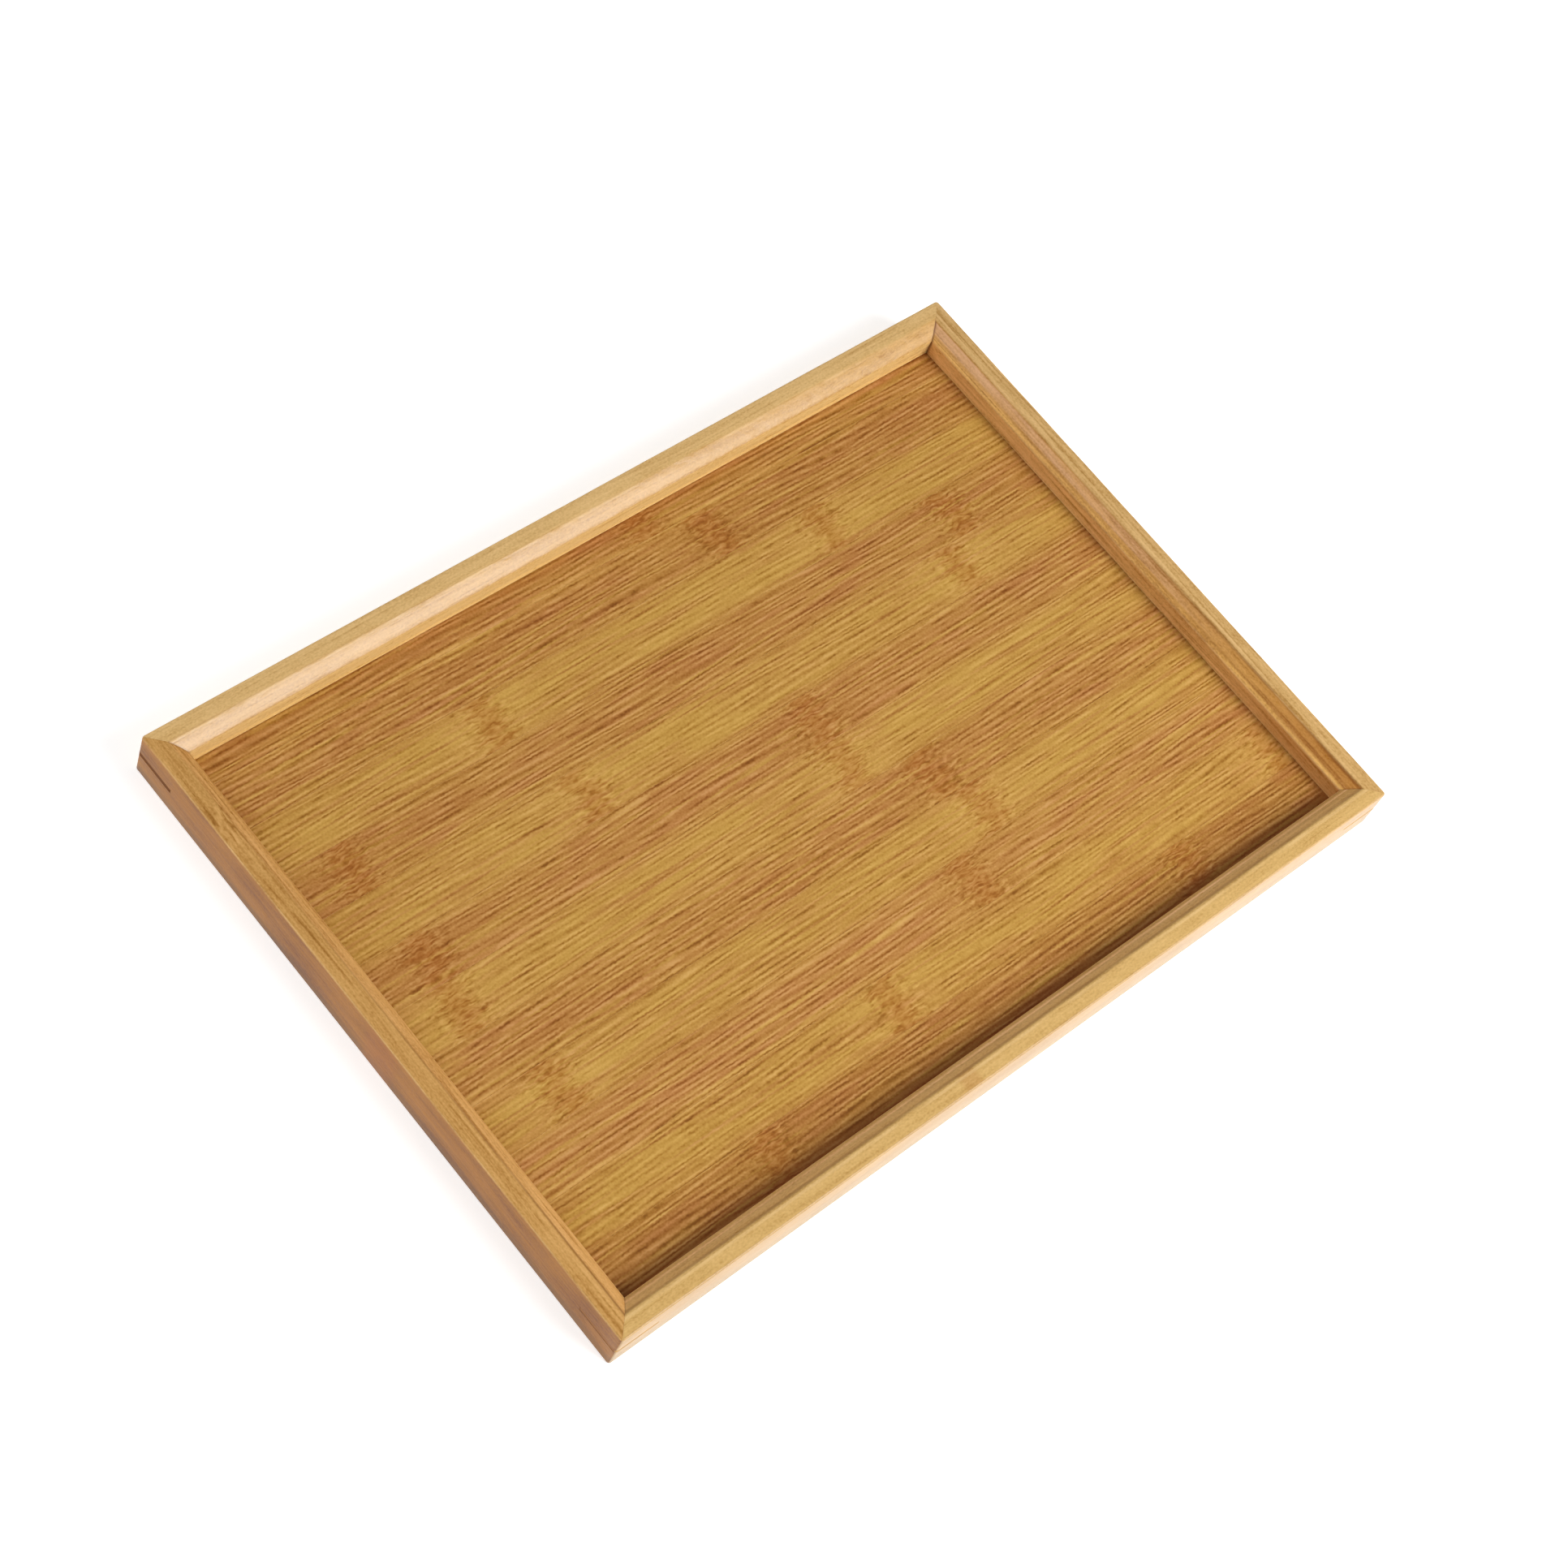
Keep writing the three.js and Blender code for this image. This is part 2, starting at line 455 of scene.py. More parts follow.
def painted_foot_shade(graph, place, centre):
    """Painted shade on the floor along the rails' feet, widest and darkest as the front rail's painted
    shadow.
    """
    along, across = graph.split(place)[:2]
    wall_x = tray_length / 2 - rail_width
    wall_y = tray_width / 2 - rail_width
    y = graph.total(across, centre.y / MM)
    masks = []
    for value, wall, (reach, share) in (
        (graph.away(along, 0.0), wall_x, END_PAINTED_SHADE),
        (y, wall_y, BACK_PAINTED_SHADE),
        (graph.product(y, -1.0), wall_y, FRONT_PAINTED_SHADOW),
    ):
        masks.append(graph.product(graph.band(value, wall - reach, wall), share))
    return graph.most(*masks)


def floor_rows(graph, place, bent, halo, patches, yellow, seed):
    """What the rows of vessels add to the tone: broken up along the strip and fainter round the knuckles."""
    drift = graph.line(graph.fibres(bent, ROW_DRIFT, seed), ROW_DRIFT.swing, graph.split(bent)[1])
    wave = graph.maths("SINE", graph.product(drift, 2 * math.pi / ROW_SPACING))
    dark = graph.maths("POWER", graph.line(wave, 0.5, 0.5), DARK_ROW_POWER)
    pale = graph.maths("POWER", graph.line(wave, -0.5, 0.5), PALE_ROW_POWER)
    rows = graph.line(dark, DARK_ROW, graph.line(pale, PALE_ROW, ROW_MIDDLE))
    unbroken = graph.band(graph.fibres(bent, ROW_BREAKS, seed), *BREAK_LIMITS)
    strength = graph.line(unbroken, 1.0 - ROW_LEAST, ROW_LEAST)
    flicker = graph.total(graph.swing(place, ROW_FLICKER, seed), 1.0)
    strength = graph.product(strength, graph.less(halo, ROW_LOSS_AT_KNUCKLE), flicker)
    if yellow:
        strength = graph.product(strength, graph.less(patches, ROW_LOSS_IN_PATCH))
    return graph.product(rows, strength)


def floor_wood(name, centre, width, yellow, shade, knuckles, seed):
    graph = Graph(name)
    place = graph.local_place(centre, 0.0)
    across = graph.split(place)[1]
    masks = [knuckle(graph, place, at, seed + KNUCKLE_SEED_STEP * i) for i, at in enumerate(knuckles)]
    core, zone, halo = [graph.most(*same) for same in zip(*masks)]

    wriggle = graph.product(graph.swing(place, STRIP_WRIGGLE, seed), zone)
    sway = graph.swing(place, STRIP_SWAY, seed)
    ragged = graph.swing(place, STRIP_RAGGED, seed)
    bend = graph.total(wriggle, sway, ragged)
    bent = graph.vector("ADD", place, graph.join(0.0, bend, 0.0))

    patches = graph.band(graph.fibres(bent, STRIP_PATCHES, seed), *PATCH_LIMITS)
    tone = graph.total(
        graph.swing(bent, STRIP_BANDS, seed),
        graph.swing(bent, STRIP_STREAKS, seed),
        graph.swing(place, STRIP_GRAIN, seed),
        floor_rows(graph, place, bent, halo, patches, yellow, seed),
        STRIP_TONE + shade,
    )
    if yellow:
        tone = graph.line(halo, YELLOW_HALO_TONE, tone)
    specks = graph.total(graph.swing(bent, STRIP_SPECKS, seed), SPECK_TONE)
    tone = graph.line(specks, zone, tone)

    from_edge = graph.maths("SUBTRACT", width / 2, graph.away(across, 0.0))
    reach = graph.product(graph.fibres(place, EDGE_MIXING, seed), EDGE_REACH)
    edges = graph.band(graph.maths("DIVIDE", from_edge, reach), 1.0, 0.0)
    veins = graph.band(graph.fibres(bent, STRIP_VEINS, seed), *VEIN_LIMITS)
    mixed = graph.most(
        graph.product(edges, EDGE_SHARE),
        graph.product(graph.less(patches, 1.0), PATCH_SHARE),
        graph.product(veins, VEIN_SHARE),
    )
    own = graph.ramp(tone, YELLOW if yellow else BROWN)
    other = graph.ramp(tone, BROWN if yellow else YELLOW)
    base = graph.blend(mixed, own, other)
    stain = graph.band(graph.fibres(place, STRIP_STAIN, seed), *STAIN_LIMITS)
    stain = graph.product(stain, YELLOW_STAIN if yellow else BROWN_STAIN)
    base = graph.blend(stain, base, graph.ramp(tone, STAINED))
    base = graph.blend(graph.product(core, KNUCKLE_TINT), base, KNUCKLE_TONE)
    # painted shade and painted shadow on the floor along the rails' feet
    base = graph.blend(painted_foot_shade(graph, place, centre), base, PAINTED_SHADE_TONE)

    roughness = graph.line(tone, PALE_STRIP_ROUGHNESS - STRIP_ROUGHNESS, STRIP_ROUGHNESS)
    return graph.finish(base, roughness, STRIP_SPECULAR, tone, STRIP_RELIEF)


# The rails' wood

# A rail's tones from its darkest fibres to its palest ones, as shares of its middle tone

FIBRE_SHARES = (
    (0.76, 0.68, 0.50),
    (0.89, 0.84, 0.74),
    (1.00, 1.00, 1.00),
    (1.07, 1.09, 1.16),
    (1.12, 1.16, 1.30),
)
GLUE_TONE = colour(118, 66, 24)
# partly sanded wood, partly painted highlight on the arrises
SANDED_AND_HIGHLIGHT_TONE = colour(241, 206, 149)

# Layers that bend the fibres, then layers that set their tone, then layers that break up lines and edges

RAIL_FIGURE = Layer(9, 3.5, 0.31, 1.0, 9.0)
RAIL_SWAY = Layer(70, 8, 0.53, 0.0, 3.0)
RAIL_BANDS = Layer(140, 3.0, 1.1, 1.0, 0.3)
RAIL_STREAKS = Layer(26, 0.9, 2.3, 0.0, 0.5)
RAIL_MOTTLE = Layer(4.5, 2.0, 6.1, 1.0, 0.25)
RAIL_GRAIN = Layer(0.9, 0.55, 5.3, 0.0, 0.15)
RAIL_FLECKS = Layer(6, 0.9, 7.7, 0.0, 1.6)
RAIL_THREADS = Layer(150, 2.2, 3.9, 0.0, -0.26)
RAIL_BLOTCH = Layer(30, 7, 12.1)
THREAD_BREAKS = Layer(45, 2.0, 8.3)
STRIPE_BREAKS = Layer(45, 1.4, 10.9)
EDGE_WEAR = Layer(18, 6, 9.7)

# The noise values between which a layer's mask goes from 0 to 1

THREAD_LIMITS = (0.11, 0.0)
THREAD_BREAK_LIMITS = (0.38, 0.62)
STRIPE_BREAK_LIMITS = (0.3, 0.6)
WEAR_LIMITS = (0.25, 0.6)

# Where the rail's faces begin and are full: distances below the rim, up from the table, in from the outer
# face, and on both sides of the chamfer's foot and of the seam

SHOULDER_BELOW_RIM = (1.0, 0.2)
TOP_BELOW_RIM = (0.7, 0.3)
TOP_INWARD = (0.3, 0.8)
FACE_INWARD = (1.0, 0.35)
THREADS_INWARD = (1.8, 0.6)
WALL_BOUNCE_UP = (11.8, 9.8)
SEAM_UP = (15.0, 16.5)
FACE_FOOT_SHADE_UP = 2.0
WALL_SOFTNESS = 0.2
SEAM_SOFTNESS = 0.2

RAIL_TONE = 0.52
EVEN_GRAIN = 0.3
THREAD_LOSS_ON_FACE = 0.8
PAINTED_LIGHT_DRIFT_LOSS_ON_FACE = 1.6
FIGURE_FULL = 0.4
STRIPE_RISE = (-0.4, 0.2)
STRIPE_FALL = (0.5, -0.3)
STRIPE_FADE = 40.0
SEAM_FULL = 0.1
MITRE_FULL = 0.15
MITRE_REACH = 0.4
MITRE_GLUE_AND_SHADE_SPREAD = 1.2

# Relief in millimetres, and finish

OUTER_RELIEF = 0.04
INNER_RELIEF = 0.12
GRAIN_RELIEF = 0.02
STREAK_RELIEF = 0.015
THREAD_RELIEF = -0.01
OUTER_ROUGHNESS = 0.26
INNER_ROUGHNESS = 0.24
MOTTLE_ROUGHNESS = 0.12
RAIL_COAT = 0.05
RAIL_COAT_ROUGHNESS = 0.2


def tones_about(middle):
    return [colour(*(value * share for value, share in zip(middle, shares))) for shares in FIBRE_SHARES]


def half_worn(graph, wear):
    """Wear that leaves at least half."""
    return graph.line(wear, 0.5, 0.5)


def rail_wood(name, place, turn, length, look, seed):
    """A rail of two glued lamellas: the outer one has the face and the top, the inner one the rest."""
    graph = Graph(name)
    local = graph.local_place(place, turn)
    along, inward, up = graph.split(local)
    below_rim = graph.maths("SUBTRACT", rail_height, up)
    shoulder = graph.less(graph.band(below_rim, *SHOULDER_BELOW_RIM), look["shoulder"])
    on_face = graph.product(graph.band(inward, *FACE_INWARD), shoulder)
    on_inside = graph.band(inward, look["seam"] - SEAM_SOFTNESS, look["seam"] + SEAM_SOFTNESS)
    on_top = graph.product(graph.band(below_rim, *TOP_BELOW_RIM), graph.band(inward, *TOP_INWARD))
    on_wall = graph.band(up, chamfer_foot + WALL_SOFTNESS, chamfer_foot - WALL_SOFTNESS)
    masks = {"face": on_face, "top": on_top, "inside": on_inside}

    wavy, flecked, tint = 0.0, 0.0, 0.0
    for at, reach, mask, wave, fleck, stain in look["figures"]:
        zone = graph.product(graph.band(graph.away(along, at), reach, reach * FIGURE_FULL), masks[mask])
        wavy = graph.line(zone, wave, wavy)
        flecked = graph.line(zone, fleck, flecked)
        tint = graph.line(zone, stain, tint)
    figure = graph.product(graph.swing(local, RAIL_FIGURE, seed), wavy)
    bend = graph.total(figure, graph.swing(local, RAIL_SWAY, seed))
    bent = graph.vector("ADD", local, graph.join(0.0, bend, bend))

    bands = graph.fibres(bent, RAIL_BANDS, seed)
    streaks = graph.fibres(bent, RAIL_STREAKS, seed)
    mottle = graph.fibres(local, RAIL_MOTTLE, seed)
    grain = graph.fibres(bent, RAIL_GRAIN, seed)
    unbroken = graph.band(graph.fibres(bent, THREAD_BREAKS, seed), *THREAD_BREAK_LIMITS)
    threads = graph.band(graph.away(graph.fibres(bent, RAIL_THREADS, seed), 0.5), *THREAD_LIMITS)
    clear = graph.less(graph.band(inward, *THREADS_INWARD), THREAD_LOSS_ON_FACE)
    threads = graph.product(threads, unbroken, clear)
    contrast = look["contrast"]
    parts = (
        (bands, RAIL_BANDS.swing * contrast),
        (streaks, RAIL_STREAKS.swing * contrast),
        (mottle, RAIL_MOTTLE.swing * contrast),
        (grain, RAIL_GRAIN.swing * contrast + EVEN_GRAIN),
    )
    tone = graph.line(threads, RAIL_THREADS.swing * contrast, graph.sum(parts, RAIL_TONE))
    blotch = graph.swing(local, RAIL_BLOTCH._replace(swing=look["blotch"]), seed)
    tone = graph.line(blotch, on_face, tone)
    # painted light: the tone paler towards the better-lit end of the rail
    drift = graph.span(along, length / 2, look["drift"])
    tone = graph.line(drift, graph.less(on_face, PAINTED_LIGHT_DRIFT_LOSS_ON_FACE), tone)
    tone = graph.line(graph.swing(bent, RAIL_FLECKS, seed), flecked, tone)

    def wood(part):
        return graph.ramp(tone, tones_about(look[part]))

    # painted bounce light: the wall paler towards its foot on the right and back rails
    wall = graph.blend(graph.band(up, *WALL_BOUNCE_UP), wood("wall"), wood("wall_foot_painted_bounce"))
    inside = graph.blend(on_wall, wood("chamfer"), wall)
    # painted shade: the outer face darker towards its foot, and on the front rail greyer as a painted
    # reflection of the pale ground
    face = graph.blend(graph.band(up, look["foot_shade_from"], FACE_FOOT_SHADE_UP), wood("face"), wood("foot"))
    base = graph.blend(on_inside, wood("top"), inside)
    base = graph.blend(on_face, base, face)
    base = graph.blend(tint, base, KNUCKLE_TONE)

    off_wall = graph.less(on_wall, 1.0)
    ragged = graph.band(graph.fibres(bent, STRIPE_BREAKS, seed), *STRIPE_BREAK_LIMITS)
    ragged = half_worn(graph, ragged)
    for stripe_from, stripe_to, stripe_tone, start in look["stripes"]:
        rise = graph.band(inward, *(stripe_from + step for step in STRIPE_RISE))
        fall = graph.band(inward, *(stripe_to + step for step in STRIPE_FALL))
        begun = graph.band(along, start - STRIPE_FADE, start + STRIPE_FADE)
        stripe = graph.product(rise, fall, ragged, begun, off_wall)
        base = graph.blend(stripe, base, graph.ramp(tone, tones_about(stripe_tone)))

    section = graph.join(inward, up, 0.0)
    wear = graph.band(graph.fibres(local, EDGE_WEAR, seed), *WEAR_LIMITS)
    # pale lines along the arrises: partly sanded wood, partly painted highlight
    for edge_in, edge_up, reach, strength in look["edges"]:
        near = graph.band(graph.distance(section, (edge_in, edge_up, 0.0)), reach, reach / 3)
        base = graph.blend(graph.product(near, wear, strength), base, SANDED_AND_HIGHLIGHT_TONE)
    seam = graph.product(
        graph.band(graph.away(inward, look["seam"]), look["seam_width"], SEAM_FULL),
        graph.band(up, *SEAM_UP),
        half_worn(graph, wear),
        graph.span(along, length / 2, look["seam_ends"]),
    )
    base = graph.blend(seam, base, GLUE_TONE)
    # dark glue lines at the mitres; where strong they widen into painted shade in the inside corner
    for side, strength in zip((-1, 1), look["mitres"]):
        from_end = graph.line(along, -side, length / 2)
        from_mitre = graph.maths("SUBTRACT", from_end, inward)
        mitre = graph.band(from_mitre, MITRE_REACH + MITRE_GLUE_AND_SHADE_SPREAD * strength, MITRE_FULL)
        base = graph.blend(graph.product(mitre, on_inside, strength), base, GLUE_TONE)

    uneven = graph.product(graph.line(on_inside, INNER_RELIEF - OUTER_RELIEF, OUTER_RELIEF), mottle)
    height = graph.total(uneven, graph.sum(((grain, GRAIN_RELIEF), (streaks, STREAK_RELIEF)), 0.0))
    height = graph.line(threads, THREAD_RELIEF, height)
    roughness = graph.line(on_inside, INNER_ROUGHNESS - OUTER_ROUGHNESS, OUTER_ROUGHNESS)
    roughness = graph.line(mottle, MOTTLE_ROUGHNESS, roughness)
    return graph.finish(base, roughness, look["gloss"], height, 1.0, RAIL_COAT, RAIL_COAT_ROUGHNESS)


# The keys' wood

KEY_FIBRES = Layer(9, 0.4, 0.0, 2.0, 0.5)
KEY_GRAIN = Layer(1.5, 0.2, 1.7, 1.0, 0.3)
KEY_END_ACROSS = (0.3, 0.9)
KEY_ROUGHNESS = 0.5
KEY_FIBRE_ROUGHNESS = 0.15
KEY_RELIEF = 0.03
KEY_SPECULAR = 0.1


def key_wood(name, place, turn, ends, seed):
    """A slip whose two ends, along its own X and Y legs, are cut from differently coloured fibres."""
    graph = Graph(name)
    local = graph.local_place(place, turn)
    fibres = graph.fibres(local, KEY_FIBRES, seed)
    grain = graph.fibres(local, KEY_GRAIN, seed)
    base = graph.blend(graph.band(graph.split(local)[1], *KEY_END_ACROSS), colour(*ends[0]), colour(*ends[1]))
    for part, layer in ((fibres, KEY_FIBRES), (grain, KEY_GRAIN)):
        base = graph.scaled(base, graph.line(part, layer.swing, 1.0 - layer.swing / 2))
    roughness = graph.line(fibres, KEY_FIBRE_ROUGHNESS, KEY_ROUGHNESS)
    return graph.finish(base, roughness, KEY_SPECULAR, grain, KEY_RELIEF)


# Meshes


def eased(corners, steps):
    """A closed outline from corners given as (x, y, arris), each rounded over its arris on both sides."""
    outline = []
    count = len(corners)
    for index, (x, y, arris) in enumerate(corners):
        corner = Vector((x, y))
        if arris == 0:
            outline.append(corner)
            continue
        before = Vector(corners[index - 1][:2])
        after = Vector(corners[(index + 1) % count][:2])
        start = corner + (before - corner).normalized() * arris
        end = corner + (after - corner).normalized() * arris
        for step in range(steps + 1):
            t = step / steps
            outline.append(start * (1 - t) ** 2 + corner * 2 * t * (1 - t) + end * t ** 2)
    return outline


def skin(name, rings, material, matrix=None):
    """A closed mesh over rings of equal length, in millimetres, capped at both ends."""
    mesh_maker = bmesh.new()
    loops = [[mesh_maker.verts.new(point) for point in ring] for ring in rings]
    count = len(loops[0])
    for first, second in zip(loops, loops[1:]):
        for index in range(count):
            after = (index + 1) % count
            mesh_maker.faces.new((first[index], first[after], second[after], second[index]))
    mesh_maker.faces.new(reversed(loops[0]))
    mesh_maker.faces.new(loops[-1])
    mesh_maker.transform(Matrix.Scale(MM, 4))
    if matrix is not None:
        mesh_maker.transform(matrix)
    bmesh.ops.recalc_face_normals(mesh_maker, faces=mesh_maker.faces)
    return place_mesh(name, mesh_maker, material)


def place_mesh(name, mesh_maker, material):
    """An object in the scene from a finished bmesh."""
    mesh = bpy.data.meshes.new(name)
    mesh_maker.to_mesh(mesh)
    mesh_maker.free()
    made = bpy.data.objects.new(name, mesh)
    bpy.context.scene.collection.objects.link(made)
    if material is not None:
        mesh.materials.append(material)
    return made


def smooth(made):
    made.data.polygons.foreach_set("use_smooth", [True] * len(made.data.polygons))
    made.data.set_sharp_from_angle(angle=SHARP_ANGLE)


def cut(made, tool):
    """Takes tool's shape out of made, and removes tool."""
    modifier = made.modifiers.new("cut", "BOOLEAN")
    modifier.operation = "DIFFERENCE"
    modifier.solver = "EXACT"
    modifier.object = tool
    graph = bpy.context.evaluated_depsgraph_get()
    result = bpy.data.meshes.new_from_object(made.evaluated_get(graph))
    made.modifiers.clear()
    old = made.data
    made.data = result
    bpy.data.meshes.remove(old)
    bpy.data.objects.remove(tool)


def attach(made, node):
    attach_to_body(made, "root")
    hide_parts(node)


# Rails


def chamfer_corners():
    """Corners along the chamfer from its foot to its head, a little crowned by the sanding."""
    foot = Vector((rail_width, chamfer_foot))
    head = Vector((TOP_WIDTH, rail_height))
    out = Vector((head.y - foot.y, foot.x - head.x)).normalized()
    corners = []
    for step in range(1, CROWN_STEPS):
        t = step / CROWN_STEPS
        point = foot.lerp(head, t) + out * (CHAMFER_CROWN * 4 * t * (1 - t))
        corners.append((point.x, point.y, 0))
    return corners


def rail_section(outer_arris, inner_arris):
    """Points (inward from the outer face, up from the table) round the moulding."""
    groove_low = floor_bottom - GROOVE_FIT
    groove_high = floor_top + GROOVE_FIT
    back = rail_width - GROOVE_DEPTH
    return eased(
        [
            (0, 0, OUTER_ARRIS),
            (rail_width, 0, INNER_ARRIS),
            (rail_width, groove_low, 0),
            (back, groove_low, 0),
            (back, groove_high, 0),
            (rail_width, groove_high, 0),
            (rail_width, chamfer_foot, inner_arris),
            *chamfer_corners(),
            (TOP_WIDTH, rail_height, inner_arris),
            (0, rail_height, outer_arris),
        ],
        ARRIS_STEPS,
    )


def rail_point(length, inward, up, share, side, gap):
    """A point near the rail's end on the given side, with share from 0 on the straight to 1 on the mitre."""
    half = length / 2 - gap / math.sqrt(2)
    if inward < CORNER_RADIUS:
        angle = share * math.pi / 4
        reach = CORNER_RADIUS - inward
        x = half - CORNER_RADIUS + reach * math.sin(angle)
        y = CORNER_RADIUS - reach * math.cos(angle)
    else:
        x = half - inward - CORNER_RADIUS * (1 - share)
        y = inward
    return Vector((side * x, y, up))


def rail_rings(length, gaps, seed):
    """Rings round the moulding from one mitre to the other, with the sanded edges a little uneven."""
    straight_steps = round(length / STATION_STEP)
    stations = [(-1, 1 - step / CORNER_STEPS) for step in range(CORNER_STEPS)]
    stations += [(0, step / straight_steps) for step in range(straight_steps + 1)]
    stations += [(1, (step + 1) / CORNER_STEPS) for step in range(CORNER_STEPS)]
    rings = []
    for index, (side, share) in enumerate(stations):
        outer_uneven = noise.noise(Vector((index * OUTER_WANDER_STEP, seed, 0.0)))
        inner_uneven = noise.noise(Vector((index * INNER_WANDER_STEP, seed, INNER_WANDER_PLACE)))
        outer = OUTER_ARRIS * (1 + ARRIS_WANDER * outer_uneven)
        inner = INNER_ARRIS * (1 + ARRIS_WANDER * inner_uneven)
        ring = []
        for inward, up in rail_section(outer, inner):
            if side == 0:
                start = rail_point(length, inward, up, 0, -1, gaps[0])
                stop = rail_point(length, inward, up, 0, 1, gaps[1])
                ring.append(start.lerp(stop, share))
            else:
                ring.append(rail_point(length, inward, up, share, side, gaps[side > 0]))
        rings.append(ring)
    return rings


def kerf_leg():
    return 2 * rail_width - KEY_COVER * math.sqrt(2)


def kerf_rings(length, side, bottom, top):
    corner = length / 2
    leg = kerf_leg()
    outline = [
        (corner - leg - CUT_OVERRUN, -CUT_OVERRUN),
        (corner + CUT_OVERRUN, -CUT_OVERRUN),
        (corner + CUT_OVERRUN, leg + CUT_OVERRUN),
    ]
    return [[Vector((side * x, y, z)) for x, y in outline] for z in (bottom, top)]


# How each rail looks. Lengths are in millimetres: inward from the outer face, up from the table, or along the
# rail from its middle. Pairs are for the ends that the rail's own -X and +X axes point to.
# top, chamfer, wall, wall_foot_painted_bounce, face and foot: the middle tones of its faces; the wall's foot
# tone is painted bounce light, the face's foot tone painted shade
# foot_shade_from: the height below which the outer face turns into its foot, painted darker as shade
# shoulder: how much of the outer face's tone is gone at the rim
# contrast: how much the fibres differ; drift: how much paler it gets towards each end, a painted light
# gradient along the rail
# seam: where the two lamellas meet, with the width and the strength of the line there
# edges: pale lines along the arrises, partly sanded wood and partly painted highlight, each with where it is
# (inward, up), its reach and its strength
# stripes: coloured fibres, each from and to (inward), their tone and where along the rail they begin; the
# pale stripes low on the front and right chamfers are partly painted highlight
# figures: lively places, each with where along, reach, face, and how wavy, flecked and stained
# gloss, blotch and mitres: the lacquer's specular level, the face's cloudiness, the mitre lines' strength,
# where the stronger lines widen into painted shade in the inside corner
# gaps and key_gaps: the open width at each mitre and round each key

RAIL_LOOKS = {
    "front_rail": {
        "top": (209, 169, 102),
        "chamfer": (205, 159, 94),
        "wall": (205, 160, 98),
        "wall_foot_painted_bounce": (205, 160, 98),
        "face": (179, 139, 79),
        # painted shade and painted reflection of the pale ground: the face's foot darker and greyer
        "foot": (172, 139, 87),
        "foot_shade_from": 14.0,
        "shoulder": 0.3,
        "contrast": 0.55,
        "drift": (0.0, 0.0),
        "seam": 6.85,
        "seam_width": 0.9,
        "seam_ends": (0.5, 0.5),
        "edges": ((5.2, 20.0, 0.7, 0.4), (11.5, 15.9, 0.45, 0.45)),
        # partly pale fibres, partly painted highlight along the chamfer's lower edge
        "stripes": ((9.75, 10.15, (240, 192, 136), -400),),
        "figures": ((-27, 5, "top", 0.15, 0.15, 0.25),),
        "gloss": 0.46,
        "blotch": 0.5,
        "mitres": (0.15, 0.2),
        "gaps": (0.04, 0.04),
        "key_gaps": (0.03, 0.03),
    },
    "right_rail": {
        "top": (202, 161, 100),
        "chamfer": (194, 141, 69),
        "wall": (211, 159, 94),
        # painted bounce light: the wall paler at its foot
        "wall_foot_painted_bounce": (219, 167, 101),
        "face": (200, 156, 96),
        "foot": (196, 152, 92),
        "foot_shade_from": 14.0,
        "shoulder": 1.0,
        "contrast": 1.2,
        # painted light: paler towards the back corner
        "drift": (0.0, 0.08),
        "seam": 6.7,
        "seam_width": 0.9,
        "seam_ends": (0.7, 0.05),
        "edges": ((5.2, 20.0, 0.6, 0.2), (11.5, 15.9, 0.45, 0.15)),
        # the second stripe is partly golden fibres, partly painted highlight at the chamfer's foot
        "stripes": ((7.0, 9.5, (201, 152, 102), -25), (10.5, 11.3, (219, 167, 86), -400)),
        "figures": ((-115, 60, "inside", 0.0, 0.0, 0.28),),
        "gloss": 0.32,
        "blotch": 0.7,
        "mitres": (0.3, 0.75),
        "gaps": (0.04, 0.03),
        "key_gaps": (0.12, 0.12),
    },
    "back_rail": {
        "top": (218, 178, 115),
        "chamfer": (203, 157, 89),
        "wall": (225, 188, 121),
        # painted bounce light: the wall paler at its foot
        "wall_foot_painted_bounce": (245, 206, 131),
        "face": (206, 164, 102),
        "foot": (200, 158, 96),
        "foot_shade_from": 14.0,
        "shoulder": 1.0,
        "contrast": 0.55,
        "drift": (0.0, 0.0),
        "seam": 6.1,
        "seam_width": 0.5,
        "seam_ends": (0.0, 0.15),
        "edges": ((0.0, 20.0, 0.45, 0.2), (6.5, 19.63, 0.9, 0.35)),
        "stripes": (),
        "figures": ((-140, 40, "inside", 0.5, 0.2, 0.0),),
        "gloss": 0.55,
        "blotch": 0.7,
        "mitres": (0.25, 0.35),
        "gaps": (0.03, 0.04),
        "key_gaps": (0.12, 0.12),
    },
    "left_rail": {
        "top": (198, 150, 85),
        "chamfer": (207, 155, 89),
        "wall": (200, 150, 86),
        "wall_foot_painted_bounce": (200, 150, 86),
        # painted shade: the outer face is set much darker than the rail's other faces, standing in for the
        # shade on this side
        "face": (150, 94, 22),
        "foot": (129, 82, 20),
        "foot_shade_from": 6.0,
        "shoulder": 1.0,
        "contrast": 1.0,
        # painted light: darker towards the back corner, paler towards the front one
        "drift": (-0.1, 0.08),
        "seam": 6.3,
        "seam_width": 0.7,
        "seam_ends": (0.1, 0.65),
        "edges": ((0.0, 20.0, 0.45, 0.5), (11.5, 15.9, 0.45, 0.15)),
        "stripes": (),
        "figures": ((-83, 12, "top", 0.35, 0.75, 0.05), (5, 10, "face", 0.15, 0.15, 0.3)),
        "gloss": 0.2,
        "blotch": 1.3,
        "mitres": (0.35, 0.15),
        "gaps": (0.04, 0.04),
        "key_gaps": (0.12, 0.05),
    },
}


